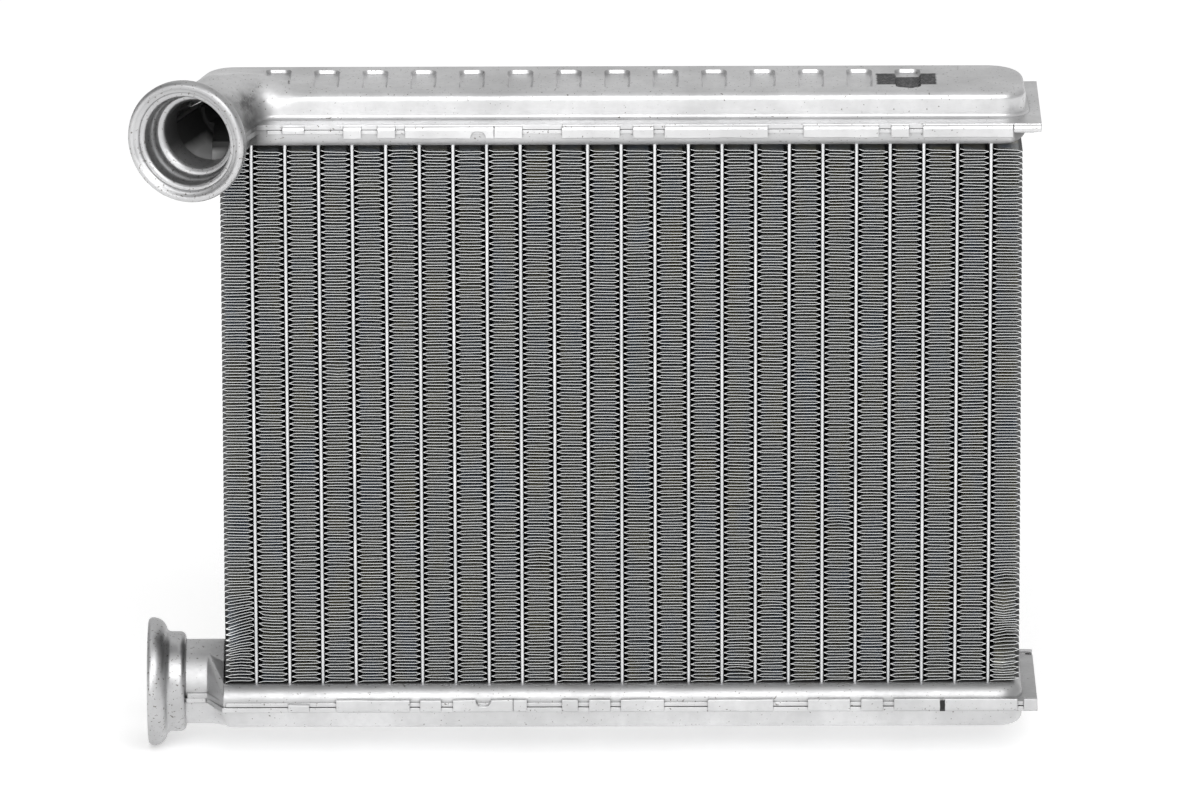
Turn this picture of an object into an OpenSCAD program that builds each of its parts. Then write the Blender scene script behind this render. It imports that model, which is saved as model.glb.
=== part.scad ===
// Heater core: flat tubes and folded fins between two pressed tanks with round couplings.
// X runs along the tanks, Y is the depth of the core with its front at -Y, and Z is up.
// The origin is at the middle of the base of the whole part.

/* [Core] */
// Number of flat tubes; there is one more fin strip than tubes
tube_count = 23; // [15:1:26]
// Distance from one tube to the next
tube_pitch = 9; // [7:0.25:12]
// Thickness of a flat tube, as seen from the front
tube_t = 1; // [0.8:0.05:1.4]
// Wall of a flat tube
tube_wall = 0.25; // [0.2:0.05:0.3]
// Depth of a flat tube, front to back
tube_depth = 33; // [26:0.5:34]
// Open height of the core between the two header plates
core_h = 151.4; // [90:0.2:230]
// How far a tube's end stands into its tank past the header plate
tube_reach = 1.2; // [0.8:0.1:1.6]
// Height of one fold of a fin strip
fold_h = 2.5; // [2:0.1:6]
// Sheet thickness of a fin strip
fin_t = 0.2; // [0.12:0.02:0.4]
// Gap between a header plate and the last fold of the fins
fin_end_gap = 1.6; // [0.5:0.1:4]

/* [Tanks] */
// Sheet thickness of the tank covers
cover_t = 1.3; // [0.8:0.1:1.6]
// Sheet thickness of the header plates
header_t = 1.4; // [0.8:0.1:1.6]
// Height of a cover's roof above the seam
dome_rise = 9; // [7:0.5:11]
// Half of a cover's depth at its wall, outside
dome_half = 15; // [14.5:0.25:16]
// Outside radius along the roof's edge
dome_edge_r = 4.5; // [3:0.25:5]
// Outside radius of the tanks' corners in plan
tank_corner_r = 7; // [6:0.5:9]
// Depth of a header pan from the seam to its tube plate
pan_drop = 5.4; // [5:0.1:9]
// Outside radius between the pan's wall and the tube plate
pan_edge_r = 4; // [3:0.1:4.2]
// Space between a tube's edge and the pan's wall, inside
pan_side_gap = 2.9; // [2.6:0.1:3]
// How far the tanks' right walls stand past the last fin strip
tank_over = 1; // [0.5:0.5:6]

/* [Flange] */
// Width of a cover's flat flange along the tanks' long sides
flange_w = 5.8; // [5.4:0.2:6.2]
// Width of the flange at the right end
flange_end_w = 3.8; // [3:0.2:8]
// Width of the flange along the necks
neck_flange_w = 1.2; // [0.8:0.2:3]
// Length of a folded tab, from the top of the flange
tab_drop = 3.7; // [3.2:0.1:5]
// Length of a short tab
short_tab_drop = 2.4; // [2:0.1:3]
// Radius of the half-round notches in the long tabs
notch_r = 2.1; // [1:0.1:2.4]

/* [Stiffening recesses] */
// Number of recesses in each roof
recess_count = 14; // [0:1:14]
// Distance from one recess to the next
recess_pitch = 13; // [9:0.25:14]
// Width of a recess
recess_w = 6.6; // [5:0.2:8]
// Length of a recess across the tank
recess_len = 18.6; // [14:0.2:20]
// Corner radius of a recess
recess_r = 1.8; // [1:0.1:2.4]
// How deep a recess is pressed
recess_depth = 0.7; // [0.3:0.1:1]

/* [Necks and couplings] */
// Outside radius of the necks
neck_r = 11.5; // [11.3:0.1:12.5]
// Length of the outlet neck from its root
outlet_neck_len = 15.5; // [14:0.5:40]
// Length of the inlet neck from its root
inlet_neck_len = 28; // [27:0.5:50]
// Angle of the inlet neck in plan, from the tanks' length towards the front
inlet_turn = 70; // [65:1:80]
// Height of both necks' axes above their seams
neck_rise = 0.9; // [0:0.1:1.2]
// Outside radius of a coupling's rolled rim
rim_r = 17.5; // [16.8:0.1:20]
// Radius of the rim's front bead
bead_r = 1.15; // [0.8:0.05:1.3]
// Width of the rim, front to back
rim_len = 5.2; // [4.6:0.1:5.8]
// Outside radius of a coupling's cup
cup_r = 13.95; // [13.6:0.05:15]
// Length of a coupling outside its neck
cup_len = 10.3; // [9.6:0.1:14]
// Wall of the cup
cup_t = 1.45; // [1:0.05:1.6]
// Radius of the step inside the cup
step_r = 11.2; // [10.6:0.1:11.6]
// Depth of the cup's wide bore
socket_len = 5; // [4:0.1:5.6]
// Length of the sleeve that sits in the neck
sleeve_len = 7; // [5:0.5:10]
// Wall of the sleeve
sleeve_t = 0.5; // [0.4:0.1:0.8]

/* [Fits] */
// Gap that the brazing fills, on each side of a tube, fin or sleeve
braze_gap = 0.03; // [0.01:0.01:0.05]
// Clearance between the folded tabs and the header's wall
tab_gap = 0.2; // [0.1:0.05:0.3]

/* [Hidden] */
$fn = 64;
// Facets round the hulls' slices
hull_fn = 32;
slice = 0.02;
over = 1;
far = 400;

fin_w = tube_pitch - tube_t;
core_half = (tube_count + 1) * tube_pitch / 2 - tube_t / 2;
seam_z = core_h / 2 + pan_drop;
pan_half = tube_depth / 2 + pan_side_gap + header_t;
tank_right = core_half + tank_over;
flange_half = dome_half + flange_w;
flange_right = tank_right + flange_end_w;

// A tab bends down over the header's wall, outside radius tab_r
tab_r = cover_t + 0.3;
tab_face = max(flange_half, pan_half) + tab_gap + cover_t;
header_flange_half = pan_half - header_t / 2;

// Both necks grow from the same place in their tanks
neck_in_r = neck_r - max(cover_t, header_t);
root_x = -(core_half - tube_pitch / 2);
outlet_turn = 0;
// The space of the core, which a neck's bulge leaves free
core_clear = 0.4;
clear_x = -(core_half + core_clear);
clear_y = -(tube_depth / 2 + core_clear);

// The blends end a little inside the necks, which start before that, so that their faces cross cleanly
blend_r = neck_r - 0.08;
neck_overlap = 2;
// Where the straight tank ends and its blend into the neck starts, and where that blend ends
outlet_blend_x = clear_x + 0.4;
outlet_blend_end = root_x - clear_x + 4.1;
ridge_end = root_x - clear_x + 4.7;
inlet_blend_x = -(core_half - 15.5);
inlet_blend_end = 15;
pan_blend_x = -(core_half - 10);
// Rounded back corners of the upper tank's left end
dome_corner_r = 6;
dome_corner = [-(core_half - 4.5), dome_half - dome_corner_r - 0.3];
pan_corner_r = 6;
pan_corner = [-(core_half - 6.5), pan_half - pan_corner_r - 0.3];

// How far the flange stops short of a neck's end
neck_set_back = 0.6;
// Where the flange leaves the long sides, front and back, and where it meets the neck
outlet_left = [clear_x - 0.3, clear_x - 0.3];
outlet_shoulder = [ridge_end, ridge_end];
inlet_left = [-(core_half - 12), -(core_half - 1)];
inlet_shoulder = [18.5, 3];

// A recess is this much wider on the inside of the sheet, on every side
recess_grow = 0.7;
recess_first = -(core_half - 15.5);
recess_last = tank_right - recess_w - tank_corner_r;
recesses_in = min(recess_count, 1 + floor((recess_last - recess_first) / recess_pitch));

// Coupling, from the rim's front plane inwards
cup_in_r = cup_r - cup_t;
rim_face = 0.5;
mouth_r = 1.1;
shoulder_r = 1.6;
sleeve_r = neck_in_r - braze_gap;
bore_r = sleeve_r - sleeve_t;
throat_r = step_r - bore_r;
throat_at = cup_len - 0.6;

// The box round the whole part, for the origin; the inlet's bead is its furthest point to the left and front
bead_reach = inlet_neck_len + cup_len - bead_r;
bead_side = rim_r - bead_r;
box_left = min(root_x - outlet_neck_len - cup_len,
    root_x - bead_reach * cos(inlet_turn) - bead_side * sin(inlet_turn) - bead_r);
box_front = -bead_reach * sin(inlet_turn) - bead_side * cos(inlet_turn) - bead_r;
origin = [(box_left + flange_right) / 2, (box_front + tab_face) / 2, neck_rise - seam_z - rim_r];

// Tabs along the front and back edges: centre in tube pitches from the middle, width, and kind
PLAIN = 0;
SHORT = 1;
upper_tabs = [
    [-9.73, 5.9, SHORT], [-7.98, 4.8, PLAIN], [-6.97, 4.8, PLAIN], [-4.67, 31.2, PLAIN],
    [-0.89, 15.5, PLAIN], [0.66, 5.5, PLAIN], [2.83, 27.6, PLAIN], [6.53, 20.2, PLAIN],
    [8.27, 4.8, PLAIN], [10.3, 24.3, PLAIN]
];
lower_tabs = [
    [-9.73, 5.7, SHORT], [-7.5, 19.9, PLAIN], [-5.76, 5.7, PLAIN], [-3.98, 20, PLAIN],
    [-1.57, 4.3, PLAIN], [-0.68, 5.8, PLAIN], [0.61, 11.6, PLAIN], [3.55, 17.7, PLAIN],
    [6.21, 11.4, PLAIN], [7.51, 6, PLAIN], [10.03, 33.5, PLAIN]
];
// Half-round notches: centre in tube pitches from the middle
upper_notch = -4.24;
lower_notch = -4.18;

function two(i) = str(i < 10 ? "0" : "", i);
function tube_name(i) = str("tube_", two(i));
function fin_name(i) = str("fin_", two(i));
function tube_x(i) = (i - (tube_count + 1) / 2) * tube_pitch;

// Places the core's own frame, whose origin is in the middle of the core
module core_seat() {
    translate(-origin) children();
}

// Tank frame: Z = 0 at the seam and +Z away from the core
module upper_seat() {
    core_seat() translate([0, 0, seam_z]) children();
}

module lower_seat() {
    core_seat() translate([0, 0, -seam_z]) mirror([0, 0, 1]) children();
}

// Half of a pressed section, w wide and h high, with a rounded upper edge
module half_section(w, h, r, below = 0) {
    translate([0, -below]) square([w, h - r + below]);
    square([w - r, h]);
    translate([w - r, h - r]) intersection() {
        circle(r);
        square(r);
    }
}

module whole_section(w, h, r, below = 0) {
    half_section(w, h, r, below);
    mirror([1, 0]) half_section(w, h, r, below);
}

// Stands a section across the tank and carries it along X
module along_x(x, len) {
    translate([x, 0, 0]) rotate([90, 0, 90]) linear_extrude(len) children();
}

// Solid tray with its upper edge rounded and its two right corners rounded in plan
module tray(w, h, r, corner, x_left, x_right, below = 0) {
    x_c = x_right - corner;
    y_c = w - corner;
    along_x(x_left, x_c - x_left) whole_section(w, h, r, below);
    translate([x_c, y_c, 0]) rotate([90, 0, 0]) linear_extrude(2 * y_c)
        half_section(corner, h, r, below);
    translate([x_c, y_c, 0]) rotate_extrude(angle = 90) half_section(corner, h, r, below);
    translate([x_c, -y_c, 0]) rotate([0, 0, -90]) rotate_extrude(angle = 90)
        half_section(corner, h, r, below);
}

// Height of a neck's axis in its own tank's frame, which is upside down for the lower tank
function axis_z(turn) = turn == outlet_turn ? -neck_rise : neck_rise;

// Places children on a neck's axis, the given distance from its root
module on_neck(turn, along) {
    translate([root_x, 0, axis_z(turn)]) rotate([0, 0, turn]) translate([-along, 0, 0]) children();
}

module neck_rod(turn, from, to, r) {
    on_neck(turn, from) rotate([0, -90, 0]) cylinder(r = r, h = to - from);
}

// A point beside a neck's axis, in plan
function neck_point(turn, along, side) = [
    root_x - along * cos(turn) - side * sin(turn),
    -along * sin(turn) + side * cos(turn)
];

module above_seam() {
    translate([-far / 2, -far / 2, 0]) cube([far, far, far / 4]);
}

module below_seam() {
    translate([-far / 2, -far / 2, -far / 4]) cube([far, far, far / 4]);
}

// Blend of the lower cover into the outlet neck, smaller all round by t
module outlet_dome_blend(t) {
    hull() {
        along_x(outlet_blend_x, slice)
            whole_section(dome_half - t, dome_rise - t, dome_edge_r - t, $fn = hull_fn);
        intersection() {
            neck_rod(outlet_turn, outlet_blend_end, outlet_blend_end + slice, blend_r - t, $fn = hull_fn);
            above_seam();
        }
    }
}

// Blend of the upper cover into the inlet neck, smaller all round by t
module inlet_dome_blend(t) {
    hull() {
        along_x(inlet_blend_x, slice)
            whole_section(dome_half - t, dome_rise - t, dome_edge_r - t, $fn = hull_fn);
        translate(dome_corner) rotate_extrude($fn = hull_fn)
            half_section(dome_corner_r - t, dome_rise - t, dome_edge_r - t);
        intersection() {
            neck_rod(inlet_turn, inlet_blend_end, inlet_blend_end + slice, blend_r - t, $fn = hull_fn);
            above_seam();
        }
    }
}

// Ridge where the header's half of the outlet neck flattens into the pan, smaller by t
module outlet_ridge(t) {
    // Its side walls run in at an angle, so that t takes more than t of its width
    taper = (pan_half - neck_r) / (root_x - ridge_end - clear_x);
    w = pan_half - t * sqrt(1 + taper * taper);
    hull() {
        along_x(clear_x - slice, slice) polygon([
            [w, 0], [w, t / 2 - pan_drop / 2], [w - pan_edge_r + t / 2, t - pan_drop],
            [0, t - neck_r - neck_rise],
            [pan_edge_r - t / 2 - w, t - pan_drop], [-w, t / 2 - pan_drop / 2], [-w, 0]
        ]);
        intersection() {
            neck_rod(outlet_turn, ridge_end, ridge_end + slice, blend_r - t, $fn = hull_fn);
            below_seam();
        }
    }
}

// Left end of the upper pan, from the tube plate round to the inlet neck, smaller by t
module inlet_pan_end(t) {
    hull() {
        mirror([0, 0, 1]) along_x(pan_blend_x, slice)
            whole_section(pan_half - t, pan_drop - t, pan_edge_r - t, $fn = hull_fn);
        mirror([0, 0, 1]) translate(pan_corner) rotate_extrude($fn = hull_fn)
            half_section(pan_corner_r - t, pan_drop - t, pan_edge_r - t);
        intersection() {
            neck_rod(inlet_turn, inlet_blend_end, inlet_blend_end + slice, blend_r - t, $fn = hull_fn);
            translate([-far / 2, -far / 2, t - pan_drop]) cube([far, far, pan_drop - t]);
        }
    }
}

// Flat flange sheet round a tank and its neck, from z to z + t
module flange_sheet(turn, neck_len, half, left, shoulder, z, t) {
    side = neck_r + neck_flange_w;
    end = neck_len - neck_set_back;
    translate([0, 0, z]) linear_extrude(t) polygon([
        [flange_right, -half], [flange_right, half], [left[1], half],
        neck_point(turn, shoulder[1], side), neck_point(turn, end, side),
        neck_point(turn, end, -side), neck_point(turn, shoulder[0], -side), [left[0], -half]
    ]);
}

module rounded_rect(w, l, r) {
    square([w, l - 2 * r], center = true);
    square([w - 2 * r, l], center = true);
    for (sx = [-1, 1], sy = [-1, 1])
        translate([sx * (w / 2 - r), sy * (l / 2 - r)]) circle(r);
}

// Row of recesses, cut down from z_top to z_low, each wider all round by grow
module recess_row(grow, z_low, z_top) {
    if (recesses_in > 0)
        for (i = [0:recesses_in - 1])
            translate([recess_first + i * recess_pitch, 0, z_low]) linear_extrude(z_top - z_low)
                rounded_rect(recess_w + 2 * grow, recess_len + 2 * grow, recess_r + grow);
}

// Bent tab across the front edge, with its bend's outer radius tab_r
module tab_section(drop) {
    x_c = tab_face - tab_r;
    z_c = cover_t - tab_r;
    translate([x_c, z_c]) difference() {
        circle(tab_r);
        circle(tab_r - cover_t);
        translate([-2 * tab_r, -2 * tab_r]) square([4 * tab_r, 2 * tab_r]);
        translate([-2 * tab_r, -2 * tab_r]) square([2 * tab_r, 4 * tab_r]);
    }
    translate([tab_face - cover_t, cover_t - drop]) square([cover_t, drop - tab_r]);
    translate([dome_half, 0]) square([x_c - dome_half, cover_t]);
}

module tab(entry) {
    drop = entry[2] == SHORT ? short_tab_drop : tab_drop;
    along_x(entry[0] * tube_pitch - entry[1] / 2, entry[1]) tab_section(drop);
}

module tab_rows(tabs, notch) {
    difference() {
        for (entry = tabs, side = [0, 1])
            if (abs(entry[0] * tube_pitch) + entry[1] / 2 < core_half)
                mirror([0, side, 0]) tab(entry);
        translate([notch * tube_pitch, 0, cover_t - tab_drop]) rotate([90, 0, 0])
            cylinder(r = notch_r, h = far, center = true);
    }
}

// Cover pressed from one sheet: dome, half neck, flange and tabs
module tank_cover(turn, neck_len, blend_x, blend_end, left, shoulder, tabs, notch) {
    difference() {
        union() {
            tray(dome_half, dome_rise, dome_edge_r, tank_corner_r, blend_x, tank_right);
            children(0);
            intersection() {
                neck_rod(turn, blend_end - neck_overlap, neck_len, neck_r);
                above_seam();
            }
            flange_sheet(turn, neck_len, flange_half, left, shoulder, 0, cover_t);
            tab_rows(tabs, notch);
        }
        difference() {
            union() {
                tray(dome_half - cover_t, dome_rise - cover_t, dome_edge_r - cover_t,
                    tank_corner_r - cover_t, blend_x, tank_right - cover_t, over);
                children(1);
                neck_rod(turn, blend_end - neck_overlap, neck_len + over, neck_in_r);
            }
            recess_row(recess_grow, dome_rise - cover_t - recess_depth, dome_rise);
        }
        recess_row(0, dome_rise - recess_depth, dome_rise + over);
    }
}

module upper_tank_cover() {
    color([0.77, 0.78, 0.79]) upper_seat()
        tank_cover(inlet_turn, inlet_neck_len, inlet_blend_x, inlet_blend_end,
            inlet_left, inlet_shoulder, upper_tabs, upper_notch) {
            inlet_dome_blend(0);
            inlet_dome_blend(cover_t);
        }
}

module lower_tank_cover() {
    color([0.77, 0.78, 0.79]) lower_seat()
        tank_cover(outlet_turn, outlet_neck_len, outlet_blend_x, outlet_blend_end,
            outlet_left, outlet_shoulder, lower_tabs, lower_notch) {
            outlet_dome_blend(0);
            outlet_dome_blend(cover_t);
        }
}

module obround(l, t) {
    square([t, l - t], center = true);
    for (s = [-1, 1])
        translate([0, s * (l - t) / 2]) circle(t / 2);
}

// Space that the core fills under a tube plate, grown by t
module core_space(t) {
    translate([clear_x - t, clear_y - t, -far / 4]) cube([far, far, far / 4 - pan_drop + t]);
}

// Header pressed from one sheet: pan with tube slots, half neck and flange
module header_plate(turn, neck_len, x_left, left, shoulder) {
    difference() {
        union() {
            mirror([0, 0, 1]) tray(pan_half, pan_drop, pan_edge_r, tank_corner_r, x_left, tank_right);
            difference() {
                union() {
                    children(0);
                    intersection() {
                        neck_rod(turn, 0, neck_len, neck_r);
                        below_seam();
                    }
                }
                core_space(0);
            }
            flange_sheet(turn, neck_len, header_flange_half, left, shoulder, -header_t, header_t);
        }
        mirror([0, 0, 1]) tray(pan_half - header_t, pan_drop - header_t, pan_edge_r - header_t,
            tank_corner_r - header_t, x_left, tank_right - header_t, over);
        difference() {
            union() {
                children(1);
                neck_rod(turn, header_t, neck_len + over, neck_in_r);
            }
            core_space(header_t);
        }
        for (i = [1:tube_count])
            translate([tube_x(i), 0, -pan_drop - over]) linear_extrude(pan_drop)
                obround(tube_depth + 2 * braze_gap, tube_t + 2 * braze_gap);
    }
}

module upper_header_plate() {
    color([0.73, 0.74, 0.75]) upper_seat()
        header_plate(inlet_turn, inlet_neck_len, pan_blend_x, inlet_left, inlet_shoulder) {
            inlet_pan_end(0);
            inlet_pan_end(header_t);
        }
}

module lower_header_plate() {
    color([0.73, 0.74, 0.75]) lower_seat()
        header_plate(outlet_turn, outlet_neck_len, clear_x, outlet_left, outlet_shoulder) {
            outlet_ridge(0);
            outlet_ridge(header_t);
        }
}

// Half section of a coupling: x is the radius and y runs inwards from the rim's front plane
module coupling_section() {
    difference() {
        union() {
            translate([0, rim_face]) square([rim_r - bead_r, rim_len / 2]);
            translate([rim_r - bead_r, bead_r]) circle(bead_r);
            translate([rim_r - 2 * bead_r, bead_r]) square([2 * bead_r, rim_len - (rim_r - cup_r) - bead_r]);
            translate([cup_r, rim_len - (rim_r - cup_r)]) intersection() {
                circle(rim_r - cup_r);
                translate([-cup_r, 0]) square(2 * cup_r);
            }
            translate([0, rim_face]) square([cup_r, cup_len - shoulder_r - rim_face]);
            translate([0, rim_face]) square([cup_r - shoulder_r, cup_len - rim_face]);
            translate([cup_r - shoulder_r, cup_len - shoulder_r]) circle(shoulder_r);
            square([sleeve_r, cup_len + sleeve_len]);
        }
        translate([0, -over]) square([cup_in_r, socket_len + over]);
        translate([0, -over]) square([step_r, throat_at - throat_r + over]);
        translate([0, -over]) square([bore_r, cup_len + sleeve_len + 2 * over]);
        translate([0, throat_at - throat_r - slice]) difference() {
            square([step_r, throat_r + slice]);
            translate([step_r, throat_r + slice]) circle(throat_r);
        }
        translate([cup_in_r - over, rim_face - over]) difference() {
            square([mouth_r + over, mouth_r + over]);
            translate([mouth_r + over, mouth_r + over]) circle(mouth_r);
        }
    }
}

module coupling(turn, neck_len) {
    on_neck(turn, neck_len + cup_len) rotate([0, 90, 0]) rotate_extrude() coupling_section();
}

module inlet_coupling() {
    color([0.80, 0.81, 0.82]) upper_seat() coupling(inlet_turn, inlet_neck_len);
}

module outlet_coupling() {
    color([0.80, 0.81, 0.82]) lower_seat() coupling(outlet_turn, outlet_neck_len);
}

// Hollow flat tube through both header plates
module flat_tube(i) {
    len = core_h + 2 * (header_t + tube_reach);
    color([0.84, 0.85, 0.86]) core_seat() translate([tube_x(i), 0, -len / 2])
        linear_extrude(len) difference() {
            obround(tube_depth, tube_t);
            obround(tube_depth - 2 * tube_wall, tube_t - 2 * tube_wall);
        }
}

// Folded strip between two tubes: one sheet that turns at each tube
module fin_strip(i) {
    reach = fin_w / 2 - braze_gap;
    height = core_h - 2 * fin_end_gap;
    folds = floor(height / fold_h);
    step = height / folds;
    // Width that the slanting sheet takes along X at its true thickness
    slant_w = fin_t * (step * sqrt(4 * reach * reach + step * step - fin_t * fin_t) - 2 * reach * fin_t)
        / (step * step - fin_t * fin_t);
    inner = reach - slant_w;
    left = [for (k = [0:folds]) [k % 2 == 0 ? -reach : inner, k * step]];
    right = [for (k = [folds:-1:0]) [k % 2 == 0 ? -inner : reach, k * step]];
    color([0.55, 0.56, 0.57]) core_seat()
        translate([tube_x(i) - tube_pitch / 2, tube_depth / 2, fin_end_gap - core_h / 2])
            rotate([90, 0, 0]) linear_extrude(tube_depth) polygon(concat(left, right));
}

upper_tank_cover();
upper_header_plate();
lower_header_plate();
lower_tank_cover();
inlet_coupling();
outlet_coupling();
for (i = [1:tube_count])
    flat_tube(i);
for (i = [1:tube_count + 1])
    fin_strip(i);
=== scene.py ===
"""Looks for a brazed aluminium heater core: fin strips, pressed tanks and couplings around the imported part.

Sizes here are in millimetres, and most places are given from the middle of the core. A tank's own frame has
z = 0 at its seam and +z away from the core, so one builder serves both tanks.
"""
import math

import bpy
import numpy as np
from mathutils import Matrix, Vector
from mathutils.geometry import delaunay_2d_cdt

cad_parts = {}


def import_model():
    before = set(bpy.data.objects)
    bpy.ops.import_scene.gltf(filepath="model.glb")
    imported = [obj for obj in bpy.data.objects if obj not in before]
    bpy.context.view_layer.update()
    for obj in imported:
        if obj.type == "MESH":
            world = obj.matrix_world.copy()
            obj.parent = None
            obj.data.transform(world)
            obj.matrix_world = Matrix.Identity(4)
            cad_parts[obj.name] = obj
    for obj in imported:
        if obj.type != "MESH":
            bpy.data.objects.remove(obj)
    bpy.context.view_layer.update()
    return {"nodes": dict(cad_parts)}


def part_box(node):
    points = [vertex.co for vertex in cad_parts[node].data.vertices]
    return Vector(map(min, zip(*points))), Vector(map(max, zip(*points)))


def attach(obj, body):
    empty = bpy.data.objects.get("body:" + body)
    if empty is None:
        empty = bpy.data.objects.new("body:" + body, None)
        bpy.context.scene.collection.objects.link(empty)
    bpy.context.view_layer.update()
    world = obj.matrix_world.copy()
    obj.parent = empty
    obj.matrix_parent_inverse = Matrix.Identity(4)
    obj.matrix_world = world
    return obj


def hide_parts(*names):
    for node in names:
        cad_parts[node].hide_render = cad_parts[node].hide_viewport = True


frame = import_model()

MM = 0.001


def middle(node):
    """Centre of a CAD node's box, in metres."""
    low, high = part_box(node)
    return (low + high) / 2


# Sizes read from the frame
CORE = middle("tube_12")
PITCH = (middle("tube_13") - CORE).x / MM
FIN_LOW, FIN_HIGH = [np.array(v - CORE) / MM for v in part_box("fin_01")]
FIN_HALF = (FIN_HIGH[0] - FIN_LOW[0]) / 2
FIN_DEPTH = FIN_HIGH[1] - FIN_LOW[1]
COVER_LOW, COVER_HIGH = [np.array(v - CORE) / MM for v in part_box("upper_tank_cover")]
TANK_FACE = COVER_HIGH[1]
FLANGE_RIGHT = COVER_HIGH[0]

# Sizes of the pressed tanks, as in the part's source
SEAM_Z = 81.1
SHEET_T = 1.3
DOME_HALF = 15
DOME_RISE = 8.1
DOME_EDGE_R = 2.2
TANK_RIGHT = 108.5
CORNER_R = 7
FLANGE_HALF = 21.5
LIP_HALF, LIP_T, LIP_GAP = 21.3, 1.1, 0.2
TAB_R = 1.6
ROOT_X = -103
NECK_R = 11.5
NECK_RISE = 0.9
NECK_SIDE = 12.7
FOOT_R = 1.1
RECESS_FIRST, RECESS_PITCH, RECESSES = -92, 13, 14
RECESS_W, RECESS_L, RECESS_R, RECESS_DEPTH = 6.6, 18.6, 1.8, 1.0
# Top and foot of a recess's wall, as distances outside its outline
WALL_TOP, WALL_FOOT = 0.15, -0.3

random = np.random.default_rng(7)


def smooth01(t):
    """Eased step from 0 to 1."""
    t = np.clip(t, 0, 1)
    return t * t * (3 - 2 * t)


def unit(v):
    return v / np.linalg.norm(v)


def soft_noise(count, grain, seed):
    """Smooth random curve of the given length, with features about grain samples long."""
    r = np.random.default_rng(seed)
    knots = r.normal(0, 1, int(count / grain) + 4)
    t = np.linspace(0, len(knots) - 3.001, count)
    i = t.astype(int)
    f = smooth01(t - i)
    return knots[i] * (1 - f) + knots[i + 1] * f


def add_piece(name, verts, faces, material, node, smooth_angle=35):
    """A mesh piece that stands for one CAD node; verts are in millimetres from the middle of the core."""
    mesh = bpy.data.meshes.new(name)
    mesh.from_pydata((np.asarray(verts, float) * MM + np.array(CORE)).tolist(), [], [list(map(int, f)) for f in faces])
    mesh.validate()
    mesh.materials.append(material)
    mesh.shade_smooth()
    mesh.set_sharp_from_angle(angle=math.radians(smooth_angle))
    ob = bpy.data.objects.new(name, mesh)
    bpy.context.scene.collection.objects.link(ob)
    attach(ob, "root")
    if node:
        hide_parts(node)
    return ob


class Shell:
    """Collects the parts of one pressed piece in a tank's frame."""

    def __init__(self):
        self.verts, self.faces, self.count = [], [], 0

    def add(self, verts, faces):
        self.verts.append(np.asarray(verts, float))
        self.faces += [tuple(i + self.count for i in f) for f in faces]
        self.count += len(verts)

    def grid(self, rows):
        """Quads between rows of points; rows is an array (rows, points, 3)."""
        rows = np.asarray(rows, float)
        n, m = rows.shape[:2]
        quads = [(i * m + j, (i + 1) * m + j, (i + 1) * m + j + 1, i * m + j + 1)
                 for i in range(n - 1) for j in range(m - 1)]
        self.add(rows.reshape(-1, 3), quads)

    def prism(self, outline, z_low, z_high):
        """Flat plate with a simple outline that runs counter-clockwise."""
        n = len(outline)
        flat, _, tris = delaunay_2d_cdt([Vector(p) for p in outline], [], [list(range(n))], 1, 1e-6)[:3]
        flat = np.array([tuple(p) for p in flat])
        k = len(flat)
        low = np.column_stack([flat, np.full(k, z_low)])
        high = np.column_stack([flat, np.full(k, z_high)])
        faces = [tuple(i + k for i in t) for t in tris] + [tuple(reversed(t)) for t in tris]
        faces += [(i, (i + 1) % n, (i + 1) % n + k, i + k) for i in range(n)]
        self.add(np.vstack([low, high]), faces)

    def place(self, up):
        """Vertices and faces from the middle of the core, for the upper (1) or lower (-1) tank."""
        verts = np.vstack(self.verts)
        verts[:, 2] = up * (SEAM_Z + verts[:, 2])
        faces = self.faces if up > 0 else [tuple(reversed(f)) for f in self.faces]
        return verts, faces


def rounded_path(corners, step):
    """Points and inward normals along a line whose corners (x, y, radius) are rounded; the inside is on its left."""
    points, normals = [], []
    at = np.array(corners[0][:2], float)

    def add(p, along):
        points.append(p)
        normals.append((-along[1], along[0]))

    def straight(a, b):
        n = max(1, math.ceil(np.linalg.norm(b - a) / step))
        for k in range(n):
            add(a + (b - a) * k / n, unit(b - a))

    for before, here, after in zip(corners, corners[1:], corners[2:]):
        r = here[2]
        h = np.array(here[:2], float)
        u = unit(h - np.array(before[:2], float))
        v = unit(np.array(after[:2], float) - h)
        bend = math.atan2(u[0] * v[1] - u[1] * v[0], u @ v)
        cut = r * math.tan(abs(bend) / 2)
        straight(at, h - u * cut)
        start = h - u * cut
        centre = start + np.array((-u[1], u[0])) * r * np.sign(bend)
        n = max(3, math.ceil(abs(bend) * r / (step * 0.5)))
        for k in range(n):
            c, s = math.cos(bend * k / n), math.sin(bend * k / n)
            turn = np.array(((c, -s), (s, c)))
            add(centre + turn @ (start - centre), turn @ u)
        at = h + v * cut
    last = np.array(corners[-1][:2], float)
    straight(at, last)
    add(last, unit(last - at))
    return np.array(points), np.array(normals)


class Neck:
    """The plan of a neck: its root, direction and side, in a tank's frame."""

    def __init__(self, turn_deg, length, blend_end):
        a = math.radians(turn_deg)
        self.root = np.array((ROOT_X, 0.0))
        self.along = np.array((-math.cos(a), -math.sin(a)))
        self.side = np.array((math.sin(a), -math.cos(a)))
        self.length, self.blend_end = length, blend_end

    def at(self, along, side):
        return self.root + self.along * along + self.side * side

    def split(self, p):
        """How far along the neck, and how far to its front side, points lie."""
        q = p - self.root
        return q @ self.along, q @ self.side


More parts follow.
